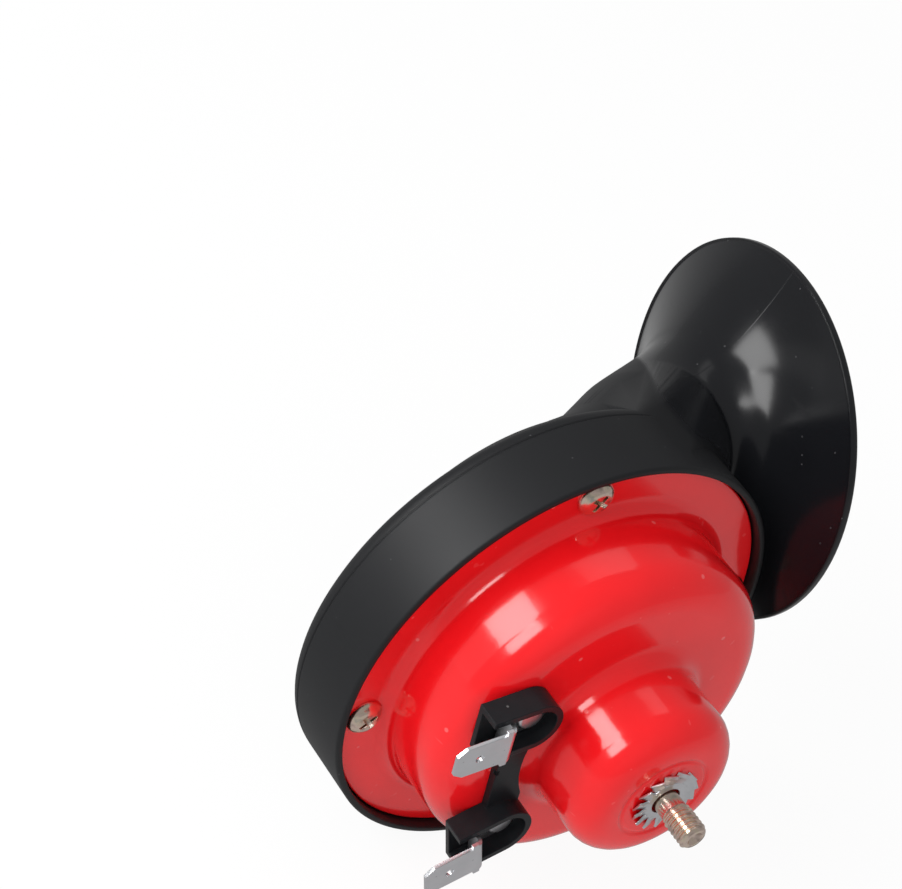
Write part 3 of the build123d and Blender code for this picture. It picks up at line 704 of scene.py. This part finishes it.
def web_shape(sizes):
    """The wall that leaves the drum's top in a straight line and runs on to the neck, drawn tight."""
    steps = 8
    shape = bmesh.new()
    edge = sizes.drum_edge
    for x, y in WEB_STARTS + ((WEB_FRONT_START, sizes.drum_front - edge),):
        shape.verts.new((x, y, math.sqrt(sizes.drum_radius ** 2 - x ** 2) - WEB_SINK))
        shape.verts.new((x, y, WEB_FOOT))
    for step in range(1, steps + 1):
        turn = math.pi / 2 * step / steps
        shape.verts.new((WEB_FRONT_START, sizes.drum_front - edge * (1 - math.sin(turn)),
                         WEB_FRONT_TOP - edge * (1 - math.cos(turn))))
    for x in WEB_STATIONS:
        along = 0.5 + 0.5 * x / BELL_REACH
        ring_at(shape, duct_centre(along), heading_at(along), duct_radius(along, sizes.bell_radius), 96)
    bmesh.ops.convex_hull(shape, input=shape.verts[:])
    loose = [vert for vert in shape.verts if not vert.link_faces]
    bmesh.ops.delete(shape, geom=loose, context="VERTS")
    return facing_out(shape)


def prism(outline, low, high):
    """A block between two depths whose outline is drawn as (X, Z)."""
    shape = bmesh.new()
    face = shape.faces.new([shape.verts.new((x, low, z)) for x, z in outline])
    grown = bmesh.ops.extrude_face_region(shape, geom=[face])
    moved = [item for item in grown["geom"] if isinstance(item, bmesh.types.BMVert)]
    bmesh.ops.translate(shape, verts=moved, vec=(0, high - low, 0))
    return facing_out(shape)


def arc_through(first, middle, last):
    """Points on the circle through three points, without the last one."""
    steps = 14
    (ax, az), (bx, bz), (cx, cz) = first, middle, last
    scale = 2 * (ax * (bz - cz) + bx * (cz - az) + cx * (az - bz))
    squares = [x * x + z * z for x, z in (first, middle, last)]
    x = (squares[0] * (bz - cz) + squares[1] * (cz - az) + squares[2] * (az - bz)) / scale
    z = (squares[0] * (cx - bx) + squares[1] * (ax - cx) + squares[2] * (bx - ax)) / scale
    radius = math.hypot(ax - x, az - z)
    start = math.atan2(az - z, ax - x)
    half = (math.atan2(bz - z, bx - x) - start + math.pi) % FULL_TURN - math.pi
    rest = (math.atan2(cz - z, cx - x) - start - half + math.pi) % FULL_TURN - math.pi
    turns = [start + (half + rest) * step / steps for step in range(steps)]
    return [(x + radius * math.cos(turn), z + radius * math.sin(turn)) for turn in turns]


def halfway(first, last, x, bulge):
    """A point at X, above the middle height of two others."""
    return (x, (first[1] + last[1]) / 2 + bulge)


def panel_outline():
    """The bare panel inside the spiral: arcs along the duct, the left side and the foot."""
    gap = 0.0035
    inner = DUCT_TOP_DISTANCE - DUCT_TOP_RADIUS
    reach = inner + gap
    left = math.radians(168)
    left_foot, left_side = (-0.0205, -0.0240), (-0.0199, -0.0120)
    left_top = (reach * math.cos(left), reach * math.sin(left))
    top = (0.0, inner - gap)
    right_top, right_foot = (0.0275, 0.0030), (0.0275, -0.0200)
    corner, foot = (0.0215, -0.0260), (0.0020, -0.0330)
    outline = arc_through(left_foot, left_side, left_top)
    outline += arc_through(left_top, halfway(left_top, top, -0.0068, 0.0006), top)
    outline += arc_through(top, halfway(top, right_top, 0.01375, 0.0012), right_top)
    outline += [right_top, right_foot]
    return outline + arc_through(corner, foot, left_foot)


def drum_shape(sizes):
    """The drum as a solid disc, with its rounded front edge and the fine groove of the part line."""
    groove, lip_rounding = 0.00022, 0.0007
    radius, line = sizes.drum_radius, sizes.drum_part_line
    return lathe([
        (0.0, -sizes.lip_height, 0.0),
        (radius, -sizes.lip_height, lip_rounding),
        (radius, line - groove, 0.0),
        (radius - groove, line, 0.0),
        (radius, line + groove, 0.0),
        (radius, sizes.drum_front, sizes.drum_edge),
        (0.0, sizes.drum_front, 0.0),
    ], closed=False)


def recess_shape(sizes):
    """What the drum leaves free for the flange, the gaskets and the chamber of the diaphragm."""
    clearance, chamfer = 0.0003, 0.0009
    radius = sizes.flange_radius + clearance
    chamber, chamber_depth = sizes.flange_radius - 0.009, 0.0026
    lip = -sizes.lip_height
    return lathe([
        (0.0, lip - 0.002, 0.0),
        (radius + chamfer, lip - 0.002, 0.0),
        (radius, lip + 0.0006, 0.0004),
        (radius, DRUM_SEAT, 0.0),
        (chamber, DRUM_SEAT, 0.0),
        (chamber, DRUM_SEAT + chamber_depth, 0.0),
        (0.0, DRUM_SEAT + chamber_depth, 0.0),
    ], closed=False)


class HORN_OT_trumpet(bpy.types.Operator):
    """Build the trumpet moulding: drum, spiral duct, web, bell and bare panel"""

    bl_idname = "horn.trumpet"
    bl_label = "Trumpet"

    def execute(self, context):
        sizes = context.scene.horn_sizes
        far_behind = -0.060
        lip_wall, bore_clearance = 0.00075, 0.0003
        partition = 0.0066
        panel_depth, panel_over = 0.0005, 0.002
        duct = scratch_object(duct_skin(sizes), "duct")
        combine(duct, scratch_object(web_shape(sizes), "web"), "UNION")
        inside_lip = plug(sizes.drum_radius - lip_wall, far_behind, DRUM_SEAT)
        combine(duct, scratch_object(inside_lip, "duct_clear"), "DIFFERENCE")
        whole = combine(scratch_object(drum_shape(sizes), "drum"), duct, "UNION")
        bore = scratch_object(duct_bore(sizes), "bore")
        behind_partition = plug(sizes.drum_radius + bore_clearance, far_behind, partition)
        combine(bore, scratch_object(behind_partition, "bore_clear"), "DIFFERENCE")
        combine(whole, bore, "DIFFERENCE")
        combine(whole, scratch_object(recess_shape(sizes), "recess"), "DIFFERENCE")
        panel = prism(panel_outline(), sizes.drum_front - panel_depth, sizes.drum_front + panel_over)
        combine(whole, scratch_object(panel, "panel", 1), "DIFFERENCE")
        put_in_place(whole, "trumpet_moulding", ["gloss_black", "grained_black"],
                     ["trumpet_front", "trumpet_rear"], 28.0)
        return {"FINISHED"}


class HORN_OT_housing(bpy.types.Operator):
    """Spin the enamelled steel housing with its dome, coil turret and flange"""

    bl_idname = "horn.housing"
    bl_label = "Housing"

    def execute(self, context):
        sizes = context.scene.horn_sizes
        sheet = HOUSING_SHEET
        hole, edge_rounding = sizes.stud_radius + 0.0004, 0.0002
        groove, groove_half_width, groove_depth = 0.0096, 0.0006, 0.0004
        inner_flange_bend, inner_turret_bend = 0.0028, 0.0042
        dome, turret = sizes.dome_radius, sizes.turret_radius
        shell = lathe([
            (hole, TURRET_END, 0.0),
            (groove - groove_half_width, TURRET_END, edge_rounding),
            (groove, TURRET_END + groove_depth, 0.0003),
            (groove + groove_half_width, TURRET_END, edge_rounding),
            (turret, TURRET_END, sizes.turret_rounding),
            (turret, -sizes.dome_depth, sizes.turret_bend),
            (dome, -sizes.dome_depth, sizes.dome_rounding),
            (dome, 0.0, sizes.flange_bend),
            (sizes.flange_radius, 0.0, 0.0004),
            (sizes.flange_radius, sheet, edge_rounding),
            (dome - sheet, sheet, inner_flange_bend),
            (dome - sheet, sheet - sizes.dome_depth, sizes.dome_rounding - sheet),
            (turret - sheet, sheet - sizes.dome_depth, inner_turret_bend),
            (turret - sheet, TURRET_END + sheet, sizes.turret_rounding - sheet),
            (hole, TURRET_END + sheet, 0.0),
        ])
        piece = scratch_object(shell, "shell")
        put_in_place(piece, "housing_shell", ["red_enamel"], ["housing"], 40.0)
        return {"FINISHED"}


class HORN_OT_stud(bpy.types.Operator):
    """Cut the mounting stud's thread and its hollow tip on the magnet core"""

    bl_idname = "horn.stud"
    bl_label = "Mounting stud"

    def execute(self, context):
        sizes = context.scene.horn_sizes
        core_radius, core_rounding = 0.0075, 0.0003
        bare_neck, groove, chamfer = 0.0026, 0.00015, 0.0007
        rows = 120
        root = sizes.stud_radius - sizes.thread_depth
        base = WASHER_SEAT - bare_neck
        core_back = TURRET_END + HOUSING_SHEET
        profile = [(0.0, CORE_FRONT, 0.0), (core_radius, CORE_FRONT, core_rounding),
                   (core_radius, core_back, 0.0), (root + groove, core_back, 0.0),
                   (root + groove, base + 0.0001, 0.0)]
        for row in range(rows + 1):
            profile.append((sizes.stud_radius, base - (base - STUD_TIP) * row / rows, 0.0))
        hollow = ((0.00165, 0.0), (0.0012, 0.0006), (0.0, 0.0016))
        profile += [(radius, STUD_TIP + depth, 0.0) for radius, depth in hollow]
        shape = lathe(profile, 72, closed=False)
        for vert in shape.verts:
            radius = math.hypot(vert.co.x, vert.co.z)
            if abs(radius - sizes.stud_radius) > 1e-5 or vert.co.y > base + 1e-6:
                continue
            wanted = self.thread_radius(vert.co, base, root, groove, chamfer, sizes)
            vert.co.x *= wanted / radius
            vert.co.z *= wanted / radius
        piece = scratch_object(facing_out(shape), "stud")
        put_in_place(piece, "threaded_stud", ["yellow_zinc"], ["core_stud"], 50.0)
        return {"FINISHED"}

    def thread_radius(self, place, base, root, groove, chamfer, sizes):
        """Radius of the thread at a place, run out at the base and cut down by the tip's chamfer."""
        crest_width, tip_share, run_out = 0.85, 0.35, 1.2
        turn = math.atan2(place.z, place.x) / FULL_TURN
        phase = (place.y / sizes.thread_pitch - turn) % 1.0
        valley = eased(min(abs(phase - 0.5) * 2 / crest_width, 1.0))
        runs_out = eased((base - place.y) / (run_out * sizes.thread_pitch))
        runs_in = eased((place.y - STUD_TIP) / chamfer)
        height = sizes.thread_depth * (1 - valley) * runs_out * (tip_share + (1 - tip_share) * runs_in)
        thread = min(root + height + (groove if runs_out < 0.5 else 0.0), sizes.stud_radius)
        tip = sizes.stud_radius - chamfer * (1 - min((place.y - STUD_TIP) / chamfer, 1.0))
        return min(thread, tip)


class HORN_OT_washer(bpy.types.Operator):
    """Twist the teeth of the lock washer round its thin ring"""

    bl_idname = "horn.washer"
    bl_label = "Lock washer"

    def execute(self, context):
        sizes = context.scene.horn_sizes
        middle = WASHER_SEAT + WASHER_SPACE / 2
        bore, edge, rounding = sizes.stud_radius + 0.00015, 0.0047, 0.0001
        low, high = middle - 0.0003, middle + 0.0003
        corners = ((bore, low), (edge, low), (edge, high), (bore, high))
        ring = scratch_object(lathe([(*corner, rounding) for corner in corners], 96), "washer_ring")
        teeth = scratch_object(self.toothed(sizes, middle), "washer_teeth")
        whole = combine(ring, teeth, "UNION")
        put_in_place(whole, "toothed_washer", ["clear_zinc"], ["lock_washer"], 35.0)
        return {"FINISHED"}

    def toothed(self, sizes, middle):
        """One tooth, twisted more towards its tip, and its copies round the washer."""
        start, thickness, fill = 0.0042, 0.0005, 0.98
        root_width, root_twist = 0.60, 0.35
        twist, flattening = math.radians(34), 0.62
        edge_rounding, sharp = 0.00008, 0.9
        reach = sizes.washer_radius - start
        pitch = FULL_TURN / sizes.washer_teeth
        tooth = bmesh.new()
        bmesh.ops.create_cube(tooth, size=1.0)
        bmesh.ops.scale(tooth, verts=tooth.verts[:],
                        vec=(reach, thickness, sizes.washer_radius * pitch * fill))
        bmesh.ops.translate(tooth, verts=tooth.verts[:], vec=(start + reach / 2, 0, 0))
        long_edges = [edge for edge in tooth.edges
                      if abs(edge.verts[0].co.x - edge.verts[1].co.x) > reach / 2]
        bmesh.ops.subdivide_edges(tooth, edges=long_edges, cuts=5, use_grid_fill=True)
        for vert in tooth.verts:
            part = (vert.co.x - start) / reach
            vert.co.z *= root_width + (1 - root_width) * part
            lean = twist * min(1.0, root_twist + part)
            y, z = vert.co.y, vert.co.z
            vert.co.y = y * math.cos(lean) + z * math.sin(lean) * flattening
            vert.co.z = z * math.cos(lean) - y * math.sin(lean)
        bmesh.ops.bevel(tooth, geom=[edge for edge in tooth.edges if edge.calc_face_angle(0) > sharp],
                        offset=edge_rounding, offset_type="OFFSET", segments=2, profile=0.5,
                        affect="EDGES", material=-1)
        bmesh.ops.spin(tooth, geom=tooth.verts[:] + tooth.edges[:] + tooth.faces[:],
                       cent=(0, 0, 0), axis=(0, 1, 0), angle=FULL_TURN - pitch,
                       steps=sizes.washer_teeth - 1, use_duplicate=True)
        bmesh.ops.translate(tooth, verts=tooth.verts[:], vec=(0, middle, 0))
        rear, front = middle - 0.0008, middle + 0.0005
        for vert in tooth.verts:
            vert.co.y = min(max(vert.co.y, rear), front)
        return facing_out(tooth)


class HORN_OT_screws(bpy.types.Operator):
    """Make the flange screws with domed heads and cross recesses"""

    bl_idname = "horn.screws"
    bl_label = "Flange screws"

    def execute(self, context):
        sizes = context.scene.horn_sizes
        circle, count, first = 0.0429, 4, math.radians(100)
        screw = self.cross_headed(sizes)
        shape = bmesh.new()
        for index in range(count):
            angle = first + index * FULL_TURN / count
            spot = Matrix.Translation((circle * math.cos(angle), 0, circle * math.sin(angle)))
            copy = screw.data.copy()
            copy.transform(spot @ Matrix.Rotation(0.5 + 1.9 * index, 4, "Y"))
            shape.from_mesh(copy)
            bpy.data.meshes.remove(copy)
        bpy.data.objects.remove(screw)
        piece = scratch_object(shape, "screws")
        put_in_place(piece, "cross_head_screws", ["yellow_zinc"], ["flange_screws"], 38.0)
        return {"FINISHED"}

    def cross_headed(self, sizes):
        """One screw on the horn's axis, its shank ridged and its head cut with a cross."""
        head, height = sizes.screw_head_radius, sizes.screw_head_height
        crown, crown_share, rim_share, foot_rounding = 0.0007, 0.62, 0.42, 0.0002
        shank, ridge_depth, ridge_pitch, ridge_start = 0.0017, 0.0004, 0.0012, 0.0012
        slot_depth, slot_over = 0.0017, 0.001
        slot_floor, slot_mouth = (0.0024, 0.00062), (0.0050, 0.00105)
        profile = [(0.0, -height, 0.0), (head * crown_share, -height, crown),
                   (head, -height * rim_share, crown), (head, 0.0, foot_rounding), (shank, 0.0, 0.0)]
        for row in range(int((SCREW_FRONT - ridge_start) / (ridge_pitch / 2))):
            radius = shank - (ridge_depth if row % 2 else 0.0)
            profile.append((radius, ridge_start + row * ridge_pitch / 2, 0.0))
        profile.append((0.0, SCREW_FRONT, 0.0))
        screw = scratch_object(lathe(profile, 64, closed=False), "screw")
        for turn in (0.0, math.pi / 2):
            blade = bmesh.new()
            bmesh.ops.create_cube(blade, size=1.0)
            for vert in blade.verts:
                deep = vert.co.y > 0
                long, wide = slot_floor if deep else slot_mouth
                vert.co.x *= long
                vert.co.z *= wide
                vert.co.y = -height + (slot_depth if deep else -slot_over)
            bmesh.ops.rotate(blade, verts=blade.verts[:], cent=(0, 0, 0),
                             matrix=Matrix.Rotation(turn, 3, "Y"))
            combine(screw, scratch_object(blade, "slot"), "DIFFERENCE")
        return screw


class HORN_OT_terminals(bpy.types.Operator):
    """Soften the terminal insulator and its blades, and copy the rivets with their finish"""

    bl_idname = "horn.terminals"
    bl_label = "Terminals"

    def execute(self, context):
        soft = context.scene.horn_sizes.edge_softness
        black, zinc = ("satin_black", "terminal_plastic"), ("clear_zinc", "zinc_clear")
        bevelled_copy("terminal_insulator", "insulator_moulding", *black, soft * 1.4)
        for side in ("upper", "lower"):
            bevelled_copy(f"terminal_blade_{side}", f"blade_{side}_plated", *zinc, soft * 0.7)
        bevelled_copy("terminal_rivets", "rivets_plated", *zinc, 0.0)
        return {"FINISHED"}


class HORN_OT_inner_pieces(bpy.types.Operator):
    """Give the coil, the magnet parts, the diaphragm and the contacts their finishes"""

    bl_idname = "horn.inner_pieces"
    bl_label = "Inner pieces"

    finishes = {
        "coil": "winding", "bobbin": "bobbin_nylon", "yoke_plate": "soft_iron", "armature": "soft_iron",
        "armature_washer": "clear_zinc", "armature_nut": "clear_zinc", "diaphragm": "diaphragm_steel",
        "housing_gasket": "gasket_paper", "trumpet_gasket": "gasket_paper",
        "inner_insulator": "fibre_board", "contact_block": "soft_iron", "contact_leaf": "leaf_bronze",
        "contact_strip": "contact_steel", "contact_spacers": "fibre_board",
        "contact_tips": "contact_steel", "contact_rivet": "contact_steel",
    }

    def execute(self, context):
        for node, finish in self.finishes.items():
            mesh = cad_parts[node].data
            mesh.materials.clear()
            mesh.materials.append(finish_named(finish))
        return {"FINISHED"}


# ---- stage
def pale_surface(name, tint):
    """A matt pale surface that the camera sees nearly white, with the horn's shadow kept."""
    camera_lift, glossy_lift = 0.93, 0.9
    in_reflections = (0.36, 0.36, 0.36)
    finish = Finish(name)
    path = finish.make("ShaderNodeLightPath", {}, {})
    glossy = path["Is Glossy Ray"]
    seen = finish.maths("MAXIMUM", path["Is Camera Ray"] * camera_lift, glossy * glossy_lift)
    matt = finish.make("ShaderNodeBsdfDiffuse", {}, {"Color": rgba(tint)})[0]
    glow = finish.make("ShaderNodeEmission", {}, {
        "Color": finish.mix(glossy, (1.0, 1.0, 1.0), in_reflections), "Strength": 1.0})[0]
    mixed = finish.make("ShaderNodeMixShader", {}, {0: seen, 1: matt, 2: glow})[0]
    finish.make("ShaderNodeOutputMaterial", {}, {"Surface": mixed})
    return finish.material


def white_surround(name, sky, gloss):
    """A world that is white to the camera and dimmer as a light and in reflections."""
    world = bpy.data.worlds.new(name)
    graph = Graph(world)
    path = graph.make("ShaderNodeLightPath", {}, {})
    seen = graph.maths("MAXIMUM", path["Is Camera Ray"], path["Is Transmission Ray"])
    dimmed = graph.ranged(path["Is Glossy Ray"], sky, gloss)
    background = graph.make("ShaderNodeBackground", {}, {
        "Color": rgba((1.0, 1.0, 1.0)), "Strength": graph.ranged(seen, dimmed, 1.0)})[0]
    graph.make("ShaderNodeOutputWorld", {}, {"Surface": background})
    return world


def softbox(name, towards, distance, size, power):
    """A rectangular area light facing the horn's middle from a direction."""
    lamp = bpy.data.lights.new(name, "AREA")
    lamp.shape = "RECTANGLE"
    lamp.size, lamp.size_y = size
    lamp.energy = power
    item = bpy.data.objects.new(name, lamp)
    way = Vector(towards).normalized()
    aim = Vector((0.0, 0.03, 0.0))
    item.location = aim + way * distance
    item.rotation_euler = way.to_track_quat("Z", "Y").to_euler()
    bpy.context.scene.collection.objects.link(item)
    return item


def aimed_camera(name, place, forward, up, lens):
    """A camera at a place, looking forward with its picture's top towards up."""
    view = bpy.data.cameras.new(name)
    view.sensor_fit = "HORIZONTAL"
    view.sensor_width = 36.0
    view.lens = lens
    view.clip_start = 0.01
    camera = bpy.data.objects.new(name, view)
    forward = Vector(forward).normalized()
    right = forward.cross(Vector(up)).normalized()
    pose = Matrix((right, right.cross(forward), -forward)).transposed().to_4x4()
    pose.translation = Vector(place)
    camera.matrix_world = pose
    bpy.context.scene.collection.objects.link(camera)
    return camera


class HORN_OT_stage(bpy.types.Operator):
    """Set the pale floor, the soft lights, the surround and the camera"""

    bl_idname = "horn.stage"
    bl_label = "Stage"

    def execute(self, context):
        scene = context.scene
        look = scene.horn_stage
        floor_size, floor_gap = 3.0, 0.0005
        shape = bmesh.new()
        bmesh.ops.create_grid(shape, x_segments=2, y_segments=2, size=floor_size)
        bmesh.ops.translate(shape, verts=shape.verts[:], vec=(0, 0, CAD_BOX[0][2] - floor_gap))
        floor = scratch_object(shape, "floor")
        floor.data.materials.append(pale_surface("pale_floor", scene.horn_colours.floor))

        softbox("key_left", (-0.67, 0.46, 0.58), 0.75, (0.32, 0.32), look.key)
        softbox("top_strip", (0.15, 0.45, 0.88), 0.90, (0.55, 0.20), look.key * 0.10)
        softbox("side_window", (-0.78, 0.00, 0.63), 0.80, (0.40, 0.32), look.key * 1.3)
        softbox("left_strip", (-0.90, 0.42, 0.10), 0.95, (0.18, 0.60), look.key * 0.04)
        fill = softbox("front_fill", (-0.35, -0.80, 0.55), 1.60, (1.20, 1.20), look.fill)
        fill.visible_glossy = False

        scene.world = white_surround("surround", look.sky, look.gloss)
        scene.camera = aimed_camera(
            "camera", place=(-0.32077, -0.22223, 0.33898), forward=(0.58062, 0.56119, -0.58986),
            up=(0.12601, 0.65382, 0.74608), lens=108.446)
        scene.view_settings.view_transform = "Standard"
        return {"FINISHED"}


class HORN_PT_panel(bpy.types.Panel):
    """Buttons and values of the horn's pieces"""

    bl_idname = "HORN_PT_panel"
    bl_label = "Disc horn"
    bl_space_type = "VIEW_3D"
    bl_region_type = "UI"
    bl_category = "Horn"

    def draw(self, context):
        for operator in STEPS:
            self.layout.operator(operator.bl_idname)
        for place, group in GROUPS.items():
            box = self.layout.box()
            for name in group.__annotations__:
                box.prop(getattr(context.scene, place), name)


STEPS = (
    HORN_OT_trumpet, HORN_OT_housing, HORN_OT_stud, HORN_OT_washer, HORN_OT_screws, HORN_OT_terminals,
    HORN_OT_inner_pieces, HORN_OT_stage)
GROUPS = {"horn_sizes": HornSizes, "horn_colours": HornColours, "horn_stage": HornStage}
CLASSES = (*GROUPS.values(), *STEPS, HORN_PT_panel)


def register():
    """Add the classes and the horn's values to Blender."""
    for item in CLASSES:
        bpy.utils.register_class(item)
    for place, group in GROUPS.items():
        setattr(bpy.types.Scene, place, bpy.props.PointerProperty(type=group))


def unregister():
    """Remove them."""
    for place in GROUPS:
        delattr(bpy.types.Scene, place)
    for item in reversed(CLASSES):
        bpy.utils.unregister_class(item)


def main():
    """Register the add-on and build every piece in order."""
    register()
    for operator in STEPS:
        group, name = operator.bl_idname.split(".")
        getattr(getattr(bpy.ops, group), name)()


if __name__ == "__main__":
    main()
